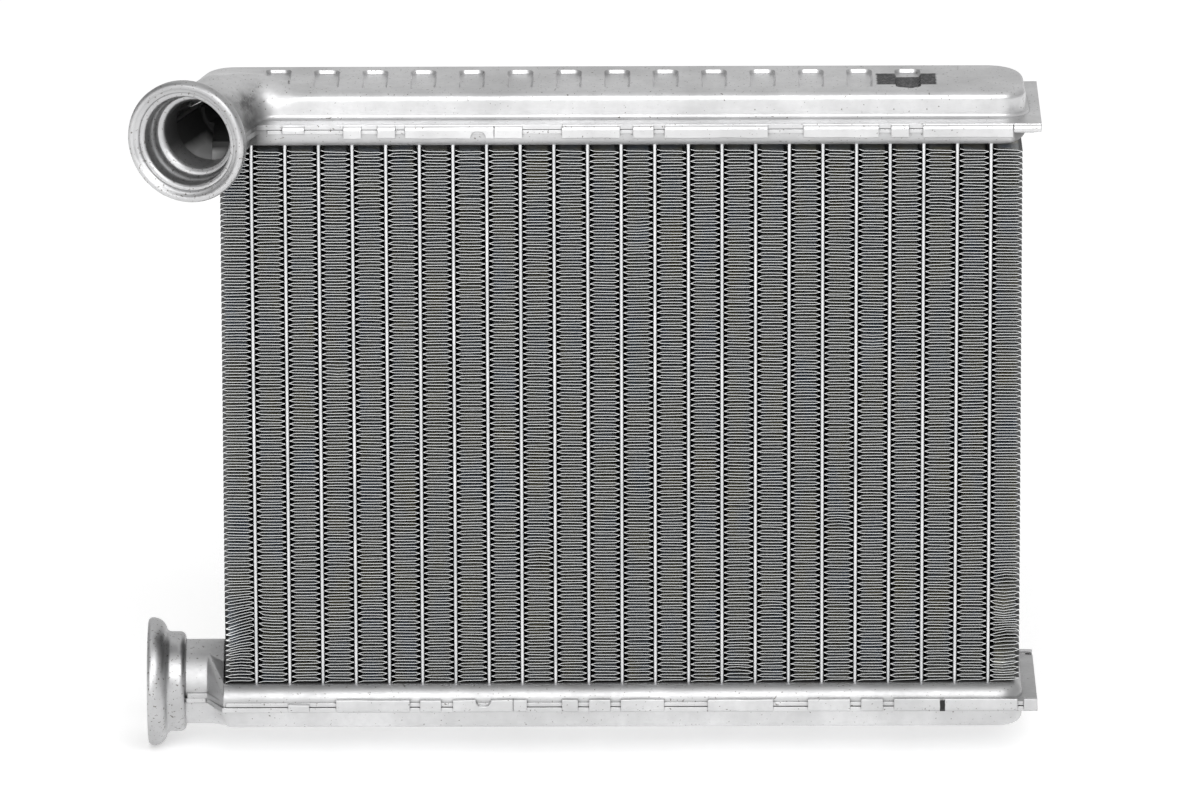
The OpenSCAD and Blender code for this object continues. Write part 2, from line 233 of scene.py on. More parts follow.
def recess_outline(distance, centre_x, count=44):
    """Rounded rectangle of a recess, grown by distance."""
    r = RECESS_R + distance
    w, l = RECESS_W / 2 - RECESS_R, RECESS_L / 2 - RECESS_R
    t = np.linspace(0, 2 * math.pi, count, endpoint=False)
    x = np.sign(np.cos(t)) * w + r * np.cos(t)
    y = np.sign(np.sin(t)) * l + r * np.sin(t)
    # A few points along the long sides
    extra = np.linspace(-l, l, 9)[1:-1]
    x = np.concatenate([x, np.full(7, w + r), np.full(7, -w - r)]) + centre_x
    y = np.concatenate([y, extra, extra])
    return np.column_stack([x, y])


def recess_depth(p):
    """How deep the roof is pressed at points p."""
    depth = np.zeros(len(p))
    for i in range(RECESSES):
        x = np.abs(p[:, 0] - (RECESS_FIRST + i * RECESS_PITCH)) - (RECESS_W / 2 - RECESS_R)
        y = np.abs(p[:, 1]) - (RECESS_L / 2 - RECESS_R)
        outside = np.hypot(np.maximum(x, 0), np.maximum(y, 0)) + np.minimum(np.maximum(x, y), 0) - RECESS_R
        depth = np.maximum(depth, RECESS_DEPTH * np.clip((WALL_TOP - outside) / (WALL_TOP - WALL_FOOT), 0, 1))
    return depth


def profile(neckness, rise):
    """Section from a dome's foot on the flange to its roof, as (inset, height) points.

    neckness 0 gives the dome's wall and rounded edge, and 1 gives the half round of a neck.
    """
    foot_z = SHEET_T + FOOT_R
    turn = np.linspace(1.5 * math.pi, 2 * math.pi, 6)
    foot = np.column_stack([-FOOT_R + FOOT_R * np.cos(turn), foot_z + FOOT_R * np.sin(turn)])
    arc = np.linspace(math.pi, math.pi / 2, 10)
    dome = np.vstack([
        [(0, foot_z + (DOME_RISE - DOME_EDGE_R - foot_z) * k / 2) for k in (0.67, 1.33)],
        np.column_stack([DOME_EDGE_R + DOME_EDGE_R * np.cos(arc), DOME_RISE - DOME_EDGE_R + DOME_EDGE_R * np.sin(arc)]),
    ])
    start = math.asin((foot_z - rise) / NECK_R)
    around = np.linspace(start, math.pi / 2, len(dome) + 1)
    neck = np.column_stack([NECK_R * (1 - np.cos(around)), rise + NECK_R * np.sin(around)])
    neck_foot = foot + np.outer(np.linspace(0, 1, 6), (neck[0, 0], 0))
    a, b = np.vstack([foot, dome]), np.vstack([neck_foot, neck[1:]])
    m = np.asarray(neckness)[:, None, None]
    return a[None] * (1 - m) + b[None] * m


def level(points, tris, held, heights):
    """Heights of a soap film over a mesh whose held points keep theirs."""
    edges = np.array([(t[i], t[i - 1]) for t in tris for i in range(3)])
    pairs = np.vstack([edges, edges[:, ::-1]])
    weight = np.bincount(pairs[:, 0], minlength=len(points)).astype(float)
    z = heights.copy()
    free = ~held
    for _ in range(900):
        total = np.bincount(pairs[:, 0], weights=z[pairs[:, 1]], minlength=len(points))
        z[free] = (total / np.maximum(weight, 1))[free]
    return z


def dome(shell, neck, corners, front_bend, back_bend, rise):
    """Dome and neck of a cover: a wall that follows the outline, and a roof with its recesses."""
    path, normals = rounded_path(corners, 1.6)
    along, side = neck.split(path)
    straight = np.concatenate([[0], np.cumsum(np.linalg.norm(np.diff(path, axis=0), axis=1))])
    total = straight[-1]
    neckness = np.maximum(smooth01((front_bend[1] - straight) / (front_bend[1] - front_bend[0])),
                          smooth01((straight - total + back_bend[1]) / (back_bend[1] - back_bend[0])))
    sections = profile(neckness, rise)
    rows = np.concatenate([
        path[:, None, :] + normals[:, None, :] * sections[:, :, :1], sections[:, :, 1:]], axis=2)
    # Past the blend both sides' crowns run on the neck's axis
    crown = rows[:, -1, :2]
    a, s = neck.split(crown)
    on_axis = (neckness > 0.985)
    rows[on_axis, -1, :2] = neck.root + np.outer(a[on_axis], neck.along)
    shell.grid(rows)

    first = np.argmax(~on_axis) - 1
    last = len(path) - np.argmax(~on_axis[::-1])
    ring = rows[first:last + 1, -1]
    ring = ring[:-1] if np.linalg.norm(ring[0, :2] - ring[-1, :2]) < 0.3 else ring
    inner = []
    for i in range(RECESSES):
        for grow in (WALL_FOOT - 0.3, WALL_FOOT, WALL_TOP, WALL_TOP + 0.3):
            inner.append(recess_outline(grow, RECESS_FIRST + i * RECESS_PITCH))
    xs, ys = np.meshgrid(np.arange(-130, TANK_RIGHT, 2.6), np.arange(-20, 13, 2.4))
    lattice = np.column_stack([xs.ravel(), ys.ravel()])
    lattice = lattice[recess_depth(lattice) == 0]
    inner = np.vstack(inner + [lattice])
    inner = inner[inside(inner, ring[:, :2], 0.6)]
    plan = np.vstack([ring[:, :2], inner])
    n = len(ring)
    flat, _, tris, origins = delaunay_2d_cdt([Vector(p) for p in plan], [], [list(range(n))], 1, 1e-7)[:4]
    flat = np.array([tuple(p) for p in flat])
    held = np.zeros(len(flat), bool)
    z = np.full(len(flat), float(DOME_RISE))
    for i, source in enumerate(origins):
        ring_points = [k for k in source if k < n]
        if ring_points:
            held[i] = True
            z[i] = ring[ring_points[0], 2]
    z = level(flat, tris, held, z) - recess_depth(flat)
    shell.add(np.column_stack([flat, z]), [tuple(t) for t in tris])


def inside(points, loop, margin):
    """Which points lie inside a closed loop and at least margin from its corners."""
    x, y = points[:, :1], points[:, 1:]
    a, b = loop, np.roll(loop, -1, axis=0)
    crosses = ((a[:, 1] > y) != (b[:, 1] > y))
    slope = (b[:, 0] - a[:, 0]) / np.where(b[:, 1] == a[:, 1], 1e-9, b[:, 1] - a[:, 1])
    hits = crosses & (x < a[:, 0] + (y - a[:, 1]) * slope)
    near = np.hypot(points[:, None, 0] - loop[None, :, 0], points[:, None, 1] - loop[None, :, 1]).min(axis=1)
    return (hits.sum(axis=1) % 2 == 1) & (near > margin)


def tab(shell, x0, x1, drop, notches=(), seed=0):
    """Tab folded down over the header's flange along the front edge, and its twin along the back."""
    cuts = [x0, x1] + [c + r * k for c, r in notches for k in (-1, -0.92, -0.7, -0.4, 0, 0.4, 0.7, 0.92, 1)]
    xs = np.unique(np.concatenate([np.arange(x0, x1, 1.5), [v for v in cuts if x0 <= v <= x1]]))
    t = np.linspace(0, math.pi / 2, 7)
    bend_y, bend_z = TANK_FACE - TAB_R, SHEET_T - TAB_R
    outer = np.column_stack([bend_y + TAB_R * np.sin(t), bend_z + TAB_R * np.cos(t)])
    inner = np.column_stack([bend_y + (TAB_R - SHEET_T) * np.sin(t), bend_z + (TAB_R - SHEET_T) * np.cos(t)])[::-1]
    rows = []
    wobble = soft_noise(len(xs), 5, 100 + seed) * 0.05
    for x, w in zip(xs, wobble):
        bottom = SHEET_T - drop + w
        for c, r in notches:
            if abs(x - c) < r:
                bottom += math.sqrt(r * r - (x - c) ** 2)
        bottom = min(bottom, bend_z - 0.3)
        end = [(TANK_FACE, bottom + 0.18), (TANK_FACE - 0.18, bottom), (TANK_FACE - SHEET_T, bottom)]
        section = np.vstack([outer, end, inner])
        rows.append(np.column_stack([np.full(len(section), x), -section[:, 0], section[:, 1]]))
    rows = np.array(rows)
    n, m = rows.shape[:2]
    for mirror in (1, -1):
        verts = rows.reshape(-1, 3) * (1, mirror, 1)
        faces = [(i * m + j, i * m + (j + 1) % m, (i + 1) * m + (j + 1) % m, (i + 1) * m + j)
                 for i in range(n - 1) for j in range(m)]
        faces += [tuple(reversed(range(m))), tuple((n - 1) * m + j for j in range(m))]
        shell.add(verts, faces if mirror > 0 else [tuple(reversed(f)) for f in faces])


def cover(name, up, neck, corners, front_bend, back_bend, flange, tabs, material):
    """A tank cover: flange, folded tabs, dome and half neck."""
    rise = NECK_RISE * up
    shell = Shell()
    dome(shell, neck, corners, front_bend, back_bend, rise)
    path, normals = rounded_path(corners, 1.6)
    foot = path - normals * (FOOT_R + 0.02)
    outline = np.vstack([flange, foot[::-1]])
    shell.prism(outline, 0.0, SHEET_T)
    # The header's edge, which shows as a line under the flange between the tabs
    left, right = flange[2][0] + 1, FLANGE_RIGHT - 2
    for y0, y1 in ((-LIP_HALF, -LIP_HALF + 1), (LIP_HALF - 1, LIP_HALF)):
        shell.prism([(left, y0), (right, y0), (right, y1), (left, y1)], -LIP_T - LIP_GAP, -LIP_GAP)
    for i, (x0, x1, drop, *notches) in enumerate(tabs):
        tab(shell, x0, x1, drop, notches, i)
    verts, faces = shell.place(up)
    return add_piece(name, verts, faces, material, name)


def coupling(name, centre, away, rim, material):
    """Formed ring, turned about the axis away, with its rim's front plane at centre."""
    bead, cup, cup_in, step, bore = 1.15, 13.6, 12.1, 10.9, 9.1
    length, sleeve, rim_len = 10.3, 7.0, 5.2

    def arc(r, x, z, start, end, n=8):
        t = np.radians(np.linspace(start, end, n))
        return [(x + r * math.cos(a), z + r * math.sin(a)) for a in t]

    fillet = rim - cup
    outline = []
    # The wide bore, its lip, and the flat ring up to the rolled bead
    outline += arc(0.9, cup_in + 0.9, 2.4, 180, 270, 6)
    outline += [(cup_in + 1.3, 1.5), (cup_in + 1.5, 0.75)]
    outline += [(rim - 2 * bead - 0.4, 0.6)]
    outline += arc(bead, rim - bead, bead, 215, 360, 12)
    outline += arc(fillet, cup, rim_len - fillet, 0, 78, 9)
    outline += [(cup + 0.25, rim_len + 0.35), (cup, rim_len + 1.0)]
    outline += arc(1.6, cup - 1.6, length - 1.6, 0, 90, 8)
    outline += [(10.05, length), (10.05, length + sleeve), (bore, length + sleeve)]
    throat = step - bore
    outline += arc(throat, step, length - 0.4, 180, 268, 8)
    outline += [(step + 0.15, 6.4)]
    outline += [(cup_in - 0.5, 5.6), (cup_in, 4.9)]
    outline = np.array(outline)
    n, turns = len(outline), 160
    x_axis = unit(np.cross(away, (0, 0, 1)))
    up = np.array((0, 0, 1.0))
    t = np.linspace(0, 2 * math.pi, turns, endpoint=False)
    ring = np.outer(np.cos(t), x_axis) + np.outer(np.sin(t), up)
    verts = centre + ring[:, None, :] * outline[None, :, :1] - np.array(away) * outline[None, :, 1:]
    verts = verts.reshape(-1, 3)
    faces = [(i * n + j, i * n + (j + 1) % n, ((i + 1) % turns) * n + (j + 1) % n, ((i + 1) % turns) * n + j)
             for i in range(turns) for j in range(n)]
    return add_piece(name, verts, faces, material, name, 50)


SHEETS = 184
FIN_T = 0.13
FIN_DROP = 1.35
# Where a sheet runs near a tube: distance from the tube, and lift towards its neighbour in sheet pitches
FOLD = ((0.0, 0.5), (0.06, 0.46), (0.3, 0.40), (0.6, 0.30), (0.95, 0.15), (1.4, 0.03))


def fin_strip(index, material):
    """One corrugated strip: a thin sheet that turns at each tube, with its front edge bent a little."""
    name = "fin_%02d" % index
    low, high = [np.array(v - CORE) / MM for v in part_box(name)]
    low[2] -= FIN_DROP
    centre, reach = (low[0] + high[0]) / 2, (high[0] - low[0]) / 2 - FIN_T / 2
    pitch = (high[2] - low[2] - FIN_T) / SHEETS
    side = np.where(np.arange(SHEETS) % 2 == 0, -1, 1)
    z = low[2] + FIN_T / 2 + pitch * (np.arange(SHEETS) + 0.5)
    x_path, z_path = [], []
    for s, level_z in zip(side, z):
        for inset, lift in FOLD:
            x_path.append(s * (reach - inset))
            z_path.append(level_z - lift * pitch)
        x_path.append(0)
        z_path.append(level_z)
        for inset, lift in FOLD[:0:-1]:
            x_path.append(-s * (reach - inset))
            z_path.append(level_z + lift * pitch)
    x_path, z_path = np.array(x_path), np.array(z_path)
    n = len(x_path)
    per_sheet = len(FOLD) * 2
    free = 1 - np.abs(x_path / reach) ** 3
    sheet_of = np.minimum(np.arange(n) // per_sheet, SHEETS - 1)
    # Uneven spacing of the sheets, and waves of their front edges
    shift = (soft_noise(SHEETS, 3, 20 + index) * 0.045 + soft_noise(SHEETS, 14, 60 + index) * 0.05)[sheet_of]
    tilt = (soft_noise(SHEETS, 2, 140 + index) * 0.05 + soft_noise(SHEETS, 20, 180 + index) * 0.04)[sheet_of]
    edge = (random.normal(0, 0.05, SHEETS))[sheet_of]
    z_path = z_path + free * (shift + tilt * x_path / reach)
    # Direction of the sheet, for its thickness
    dx, dz = np.gradient(x_path), np.gradient(z_path)
    length = np.hypot(dx, dz) + 1e-9
    nx, nz = -dz / length, dx / length
    depths = np.array((0.0, 0.5, 2.2, FIN_DEPTH))
    rows = []
    for depth in depths:
        front = math.exp(-depth / 1.2) if depth < 10 else 0
        bx, bz = bent(centre + x_path, z_path)
        zz = z_path + front * (free * edge + bz)
        xx = x_path + front * bx
        thick = FIN_T / 2
        top = np.column_stack([centre + xx + nx * thick, np.full(n, low[1] + depth), zz + nz * thick])
        below = np.column_stack([centre + xx - nx * thick, np.full(n, low[1] + depth), zz - nz * thick])
        rows.append((top, below))
    verts = np.vstack([part for row in rows for part in row])
    limit = (low[0] + 0.002, high[0] - 0.002)
    verts[:, 0] = np.clip(verts[:, 0], *limit)
    verts[:, 2] = np.clip(verts[:, 2], low[2], high[2])
    k = np.arange(n - 1)
    faces = []
    for r in range(len(depths) - 1):
        a, b = 2 * r * n, 2 * (r + 1) * n
        faces.append(np.column_stack([a + k, a + k + 1, b + k + 1, b + k]))
        faces.append(np.column_stack([a + n + k, b + n + k, b + n + k + 1, a + n + k + 1]))
    faces.append(np.column_stack([k, n + k, n + k + 1, k + 1]))
    end = 2 * (len(depths) - 1) * n
    faces.append(np.column_stack([end + k, end + k + 1, end + n + k + 1, end + n + k]))
    return add_piece(name, verts, np.vstack(faces), material, name, 60)


def bent(x, z):
    """How far fin edges are knocked along X and Z, at places given from the middle of the core."""
    dx, dz = np.zeros_like(x), np.zeros_like(z)
    for cx, cz, wide, tall, push_x, push_z in KNOCKS:
        w = np.exp(-((x - cx) / wide) ** 2 - ((z - cz) / tall) ** 2)
        dx, dz = dx + push_x * w, dz + push_z * w
    return dx, dz


# Knocks on the fins' front: centre, width and height, and how far the edges are pushed
KNOCKS = (
    (-107.5, -61, 3, 8, 0.2, -1.1), (-100.5, -58, 3, 8, 0.4, 1.0), (-104, -70, 4, 4, 0.3, 0.7), (103.5, -54, 3, 5, -0.4, -0.8),
    (104.5, -62, 3, 4, 0.5, 0.9), (103, -69, 4, 4, -0.6, -0.9), (104, -46, 2.5, 2, 0.2, 0.6),
    (-58, 73, 5, 2, 0, 0.3), (31, -72, 4, 1.6, 0, 0.5), (67, 20, 3, 3, 0, -0.3), (-22, -40, 3, 3, 0.1, 0.3),
    (4, 52, 3, 4, 0, -0.25), (58, -30, 3, 2, 0, 0.35), (-76, 12, 3, 2, 0.1, -0.35), (85, 60, 3, 2, 0, 0.3),
)


class Nodes:
    """Small helper that adds and links shader nodes."""

    def __init__(self, name):
        self.material = bpy.data.materials.new(name)
        self.material.use_nodes = True
        self.tree = self.material.node_tree
        self.shader = self.tree.nodes["Principled BSDF"]

    def add(self, kind, **settings):
        node = self.tree.nodes.new(kind)
        for key, value in settings.items():
            if key in node.inputs:
                node.inputs[key].default_value = value
            else:
                setattr(node, key, value)
        return node

    def link(self, a, b):
        self.tree.links.new(a, b)

    def noise(self, scale, detail=3.0, rough=0.5, stretch=(1, 1, 1)):
        """Noise over the object's own coordinates; scale is in features per metre."""
        place = self.add("ShaderNodeTexCoord")
        mapping = self.add("ShaderNodeMapping")
        mapping.inputs["Scale"].default_value = stretch
        self.link(place.outputs["Object"], mapping.inputs["Vector"])
        node = self.add("ShaderNodeTexNoise")
        node.inputs["Scale"].default_value = scale
        node.inputs["Detail"].default_value = detail
        node.inputs["Roughness"].default_value = rough
        self.link(mapping.outputs["Vector"], node.inputs["Vector"])
        return node.outputs["Fac"]

    def ramp(self, value, stops):
        """Colour ramp; stops are (position, colour or grey)."""
        node = self.add("ShaderNodeValToRGB")
        cr = node.color_ramp
        while len(cr.elements) < len(stops):
            cr.elements.new(0.5)
        for element, (position, colour) in zip(cr.elements, stops):
            element.position = position
            grey = (colour,) * 3 if isinstance(colour, (int, float)) else colour
            element.color = (*grey, 1)
        self.link(value, node.inputs["Fac"])
        return node.outputs["Color"]

    def spot(self, centre, half, ragged=0.3, soft=0.1, grain=500):
        """1 inside a box with a ragged edge and 0 outside; sizes are in millimetres from the middle of the core."""
        low = in_row(*centre)
        scale = [0.5 / (h * MM) for h in half]
        mapping = self.add("ShaderNodeMapping")
        mapping.inputs["Scale"].default_value = scale
        mapping.inputs["Location"].default_value = [-c * k for c, k in zip(low, scale)]
        self.link(self.add("ShaderNodeNewGeometry").outputs["Position"], mapping.inputs["Vector"])
        noise = self.add("ShaderNodeTexNoise")
        noise.inputs["Scale"].default_value = grain
        self.link(self.add("ShaderNodeNewGeometry").outputs["Position"], noise.inputs["Vector"])
        shifted = self.add("ShaderNodeVectorMath", operation="MULTIPLY_ADD")
        shifted.inputs[1].default_value = (ragged,) * 3
        self.link(noise.outputs["Color"], shifted.inputs[0])
        self.link(mapping.outputs["Vector"], shifted.inputs[2])
        centred = self.add("ShaderNodeVectorMath", operation="SUBTRACT")
        centred.inputs[1].default_value = (ragged / 2,) * 3
        self.link(shifted.outputs[0], centred.inputs[0])
        size = self.add("ShaderNodeVectorMath", operation="ABSOLUTE")
        self.link(centred.outputs[0], size.inputs[0])
        split = self.add("ShaderNodeSeparateXYZ")
        self.link(size.outputs[0], split.inputs[0])
        most = split.outputs[0]
        for axis in (1, 2):
            larger = self.add("ShaderNodeMath", operation="MAXIMUM")
            self.link(most, larger.inputs[0])
            self.link(split.outputs[axis], larger.inputs[1])
            most = larger.outputs[0]
        return self.ramp(most, [(0.5 - soft / 2, 1.0), (0.5 + soft / 2, 0.0)])

    def within(self, start, along, radius):
        """1 near the line from start along a direction, and 0 further than radius (mm) from it."""
        moved = self.add("ShaderNodeVectorMath", operation="SUBTRACT")
        moved.inputs[1].default_value = in_row(*start)
        self.link(self.add("ShaderNodeNewGeometry").outputs["Position"], moved.inputs[0])
        cross = self.add("ShaderNodeVectorMath", operation="CROSS_PRODUCT")
        cross.inputs[1].default_value = along
        self.link(moved.outputs[0], cross.inputs[0])
        size = self.add("ShaderNodeVectorMath", operation="LENGTH")
        self.link(cross.outputs[0], size.inputs[0])
        scaled = self.add("ShaderNodeMath", operation="MULTIPLY")
        scaled.inputs[1].default_value = 0.5 / (radius * MM)
        self.link(size.outputs["Value"], scaled.inputs[0])
        return self.ramp(scaled.outputs[0], [(0.49, 1.0), (0.51, 0.0)])

    def mix(self, factor, a, b, how="MIX"):
        node = self.add("ShaderNodeMix", data_type="RGBA", blend_type=how)
        sockets = {"f": node.inputs[0], "a": node.inputs[6], "b": node.inputs[7]}
        for key, value in (("f", factor), ("a", a), ("b", b)):
            if isinstance(value, bpy.types.NodeSocket):
                self.link(value, sockets[key])
            elif key == "f":
                sockets[key].default_value = value
            else:
                grey = (value,) * 3 if isinstance(value, (int, float)) else value
                sockets[key].default_value = (*grey, 1)
        return node.outputs[2]


def sheet_metal(name, base, rough, edge, speck, crease_shade, marks=()):
    """Satin mill-finish aluminium with faint mottling, flux specks, painted shade in its creases and softened edges.

    Each mark is a (factor, colour) pair made by a function of the helper; some marks are real ink, paint and stains,
    others painted shade and painted light.
    """
    m = Nodes(name)
    mottle = m.noise(45, 4, 0.6)
    fine = m.noise(900, 3, 0.6)
    grain = m.noise(2600, 2, 0.5, (0.15, 1, 1))
    low = tuple(c * 0.78 for c in base)
    colour = m.ramp(mottle, [(0.35, low), (0.62, base)])
    colour = m.mix(m.ramp(m.noise(420, 4, 0.7), [(0.42, 0.0), (0.75, 0.5)]), colour, tuple(c * 0.8 for c in base))
    specks = m.ramp(m.noise(1500, 1.5, 0.4), [(speck, 0.0), (speck + 0.03, 1.0)])
    colour = m.mix(specks, colour, (0.2, 0.19, 0.18))
    # Painted shade: the colour darkens where the AO node finds sheet close by, in creases, seams and under overhangs.
    crease = m.add("ShaderNodeAmbientOcclusion", samples=6)
    crease.inputs["Distance"].default_value = 2.2 * MM
    colour = m.mix(m.ramp(crease.outputs["AO"], [(0.15, crease_shade), (0.65, 0.0)]), colour, (0.10, 0.10, 0.10))
    metal, gloss = 0.92, 0.5
    # The marks hold real ink, paint and stains, and also painted shade and painted light.
    for mark in marks:
        factor, ink_and_painted_light = mark(m)
        colour = m.mix(factor, colour, ink_and_painted_light)
        metal = m.mix(factor, metal, 0.0)
        gloss = m.mix(factor, gloss, 0.1)
    m.link(colour, m.shader.inputs["Base Color"])
    if marks:
        m.link(metal, m.shader.inputs["Metallic"])
        m.link(gloss, m.shader.inputs["Specular IOR Level"])
    else:
        m.shader.inputs["Metallic"].default_value = metal
    m.link(m.ramp(fine, [(0.3, rough - 0.05), (0.7, rough + 0.08)]), m.shader.inputs["Roughness"])
    soft = m.add("ShaderNodeBevel", samples=6)
    soft.inputs["Radius"].default_value = edge * MM
    bump = m.add("ShaderNodeBump")
    bump.inputs["Strength"].default_value = 0.16
    bump.inputs["Distance"].default_value = 0.0002
    m.link(m.mix(0.5, fine, grain), bump.inputs["Height"])
    m.link(soft.outputs["Normal"], bump.inputs["Normal"])
    m.link(bump.outputs["Normal"], m.shader.inputs["Normal"])
    return m.material


def saddle_smudge(m):
    """Dark mottled stain where the upper tank turns into its neck."""
    inside = m.spot((-102.6, -17.0, 85.5), (5.5, 9, 5), 0.45, 0.3, 160)
    patchy = m.ramp(m.noise(260, 4, 0.7), [(0.3, 0.25), (0.6, 0.9)])
    return m.mix(inside, 0.0, patchy), (0.06, 0.06, 0.06)


def roof_ink(m):
    """Black ink band across one recess of the upper roof."""
    inside = m.spot((76.6, -0.9, SEAM_Z + DOME_RISE), (8, 5.6, 3), 0.06, 0.03, 700)
    worn = m.ramp(m.noise(1800, 3, 0.7), [(0.35, 0.85), (0.5, 1.0)])
    return m.mix(inside, 0.0, worn), (0.02, 0.02, 0.022)


def tab_paint(m):
    """Short black paint mark on a folded tab of the lower tank."""
    return m.spot((86.6, -TANK_FACE, -SEAM_Z - 1), (0.7, 3, 3.2), 0.2, 0.1, 900), (0.03, 0.03, 0.03)


def neck_shade(m):
    """Painted shade on the side of the inlet neck, behind its ring, where the ring's shadow falls."""
    return m.spot((-102, -19.5, 81), (6, 9, 5.5), 0.4, 0.6, 160), (0.07, 0.07, 0.07)


def under_neck_painted_shade(m):
    """Painted shade on the sheet in the corner under the inlet neck."""
    return m.spot((-100.5, -17, 76.5), (5.5, 7, 6.5), 0.3, 0.5, 200), (0.10, 0.10, 0.10)


def end_corner_painted_shade(m):
    """Painted shade on the corner of the upper pan, under the end of the flange."""
    return m.spot((107.3, -17, 77.5), (2.6, 7, 3.4), 0.2, 0.3, 200), (0.2, 0.2, 0.2)


def dark_throat(m):
    """The inside of the inlet neck, which little light reaches."""
    a = math.radians(70)
    return (m.within((ROOT_X, 0, SEAM_Z + NECK_RISE), (math.cos(a), math.sin(a), 0), NECK_R - 0.9), (0.05, 0.05, 0.05))


def dark_bore(m):
    """The wall of the inlet's bore, which little light reaches."""
    a = math.radians(70)
    return (m.within((ROOT_X, 0, SEAM_Z + NECK_RISE), (math.cos(a), math.sin(a), 0), 9.5), (0.05, 0.05, 0.05))


def throat_floor_painted_light(m):
    """Painted light on the floor of the inlet neck, where light falls in through the bore."""
    return m.spot((-110.5, -11.5, 71.7), (5.5, 8, 2.8), 0.1, 0.4, 300), (0.6, 0.6, 0.6)


def fin_metal():
    """Thin rolled sheet: blue-grey with olive and brownish patches, bright on its front edges.

    Past the front edge, the plain strip next to each tube is nearly black, as no louvre throws light back there.
    """
    m = Nodes("fin sheet")
    patch = m.noise(60, 3, 0.6)
    tint = m.ramp(m.noise(140, 3, 0.6, (1, 1, 0.5)), [
        (0.32, (0.26, 0.31, 0.38)), (0.5, (0.34, 0.35, 0.34)), (0.68, (0.36, 0.34, 0.24))])
    colour = m.mix(m.ramp(patch, [(0.35, 0.0), (0.7, 0.35)]), tint, (0.44, 0.45, 0.46))
    split = m.add("ShaderNodeSeparateXYZ")
    m.link(m.add("ShaderNodeNewGeometry").outputs["Position"], split.inputs[0])
    pitches = m.add("ShaderNodeMapRange", clamp=False)
    pitches.inputs["From Min"].default_value = CORE.x
    pitches.inputs["From Max"].default_value = CORE.x + PITCH * MM
    m.link(split.outputs["X"], pitches.inputs["Value"])
    from_tube = m.add("ShaderNodeMath", operation="PINGPONG")
    from_tube.inputs[1].default_value = 0.5
    m.link(pitches.outputs[0], from_tube.inputs[0])
    near_tube = m.ramp(from_tube.outputs[0], [(1.35 / PITCH, 1.0), (1.9 / PITCH, 0.0)])
    depth = m.add("ShaderNodeMapRange")
    depth.inputs["From Min"].default_value = CORE.y + FIN_LOW[1] * MM
    depth.inputs["From Max"].default_value = CORE.y + (FIN_LOW[1] + 2) * MM
    m.link(split.outputs["Y"], depth.inputs["Value"])
    past_edge = m.ramp(depth.outputs[0], [(0.02, 0.0), (0.12, 1.0)])
    colour = m.mix(m.mix(near_tube, 0.0, past_edge), colour, (0.012, 0.013, 0.015))
    colour = m.mix(m.ramp(depth.outputs[0], [(0.005, 1.0), (0.03, 0.0)]), colour, (0.76, 0.77, 0.77))
    m.link(colour, m.shader.inputs["Base Color"])
    m.shader.inputs["Metallic"].default_value = 0.55
    m.shader.inputs["Roughness"].default_value = 0.38
    return m.material


def bright_metal():
    """Drawn tube, a little duller in places."""
    m = Nodes("drawn tube")
    colour = m.ramp(m.noise(260, 3, 0.6, (1, 1, 0.3)), [(0.35, (0.60, 0.61, 0.62)), (0.65, (0.78, 0.78, 0.79))])
    m.link(colour, m.shader.inputs["Base Color"])
    m.shader.inputs["Metallic"].default_value = 1.0
    m.link(m.ramp(m.noise(1200, 2, 0.5), [(0.3, 0.3), (0.7, 0.42)]), m.shader.inputs["Roughness"])
    return m.material


def in_row(x, y, z):
    """A point given in millimetres from the middle of the core, in the row frame."""
    return CORE + Vector((x, y, z)) * MM


def camera():
    distance, elevation, roll = 3500, math.radians(16.6), math.radians(-0.15)
    data = bpy.data.cameras.new("camera")
    data.sensor_width = 36
    data.lens = 388.4
    data.clip_start, data.clip_end = 0.1, 20
    cam = bpy.data.objects.new("camera", data)
    bpy.context.scene.collection.objects.link(cam)
    target = in_row(-5.82, 0, -0.73)
    away = Vector((0, -math.cos(elevation), math.sin(elevation)))
    cam.location = target + away * distance * MM
    turn = (target - cam.location).to_track_quat("-Z", "Y")
    cam.rotation_euler = (turn.to_matrix().to_4x4() @ Matrix.Rotation(roll, 4, "Z")).to_euler()
    bpy.context.scene.camera = cam


def area_light(name, where, size, power, aim=(0, 0, 0)):
    data = bpy.data.lights.new(name, "AREA")
    data.shape = "RECTANGLE"
    data.size, data.size_y = size
    data.energy = power
    lamp = bpy.data.objects.new(name, data)
    bpy.context.scene.collection.objects.link(lamp)
    lamp.location = in_row(*where)
    lamp.rotation_euler = (in_row(*aim) - lamp.location).to_track_quat("-Z", "Y").to_euler()


def world():
    """Studio surroundings: white overhead and behind, darker to the left."""
    w = bpy.data.worlds.new("studio")
    w.use_nodes = True
    tree = w.node_tree
    place = tree.nodes.new("ShaderNodeTexCoord")
    split = tree.nodes.new("ShaderNodeSeparateXYZ")
    tree.links.new(place.outputs["Generated"], split.inputs[0])

    def ramp(value, stops):
        node = tree.nodes.new("ShaderNodeValToRGB")
        while len(node.color_ramp.elements) < len(stops):
            node.color_ramp.elements.new(0.5)
        for element, (at, grey) in zip(node.color_ramp.elements, stops):
            element.position = at
            element.color = (grey, grey, grey, 1)
        tree.links.new(value, node.inputs["Fac"])
        return node.outputs["Color"]

    across = tree.nodes.new("ShaderNodeMapRange")
    across.inputs["From Min"].default_value = -1
    tree.links.new(split.outputs["X"], across.inputs["Value"])
    both = tree.nodes.new("ShaderNodeMix")
    both.data_type, both.blend_type = "RGBA", "MULTIPLY"
    both.inputs[0].default_value = 1
    tree.links.new(ramp(split.outputs["Z"], ((0.0, 0.8), (0.25, 0.9), (0.5, 0.8), (1.0, 1.0))), both.inputs[6])
    tree.links.new(ramp(across.outputs[0], ((0.0, 0.45), (0.2, 0.55), (0.38, 1.0), (0.7, 1.0), (1.0, 0.6))), both.inputs[7])
    background = tree.nodes["Background"]
    tree.links.new(both.outputs[2], background.inputs["Color"])
    background.inputs["Strength"].default_value = 0.8
    bpy.context.scene.world = w


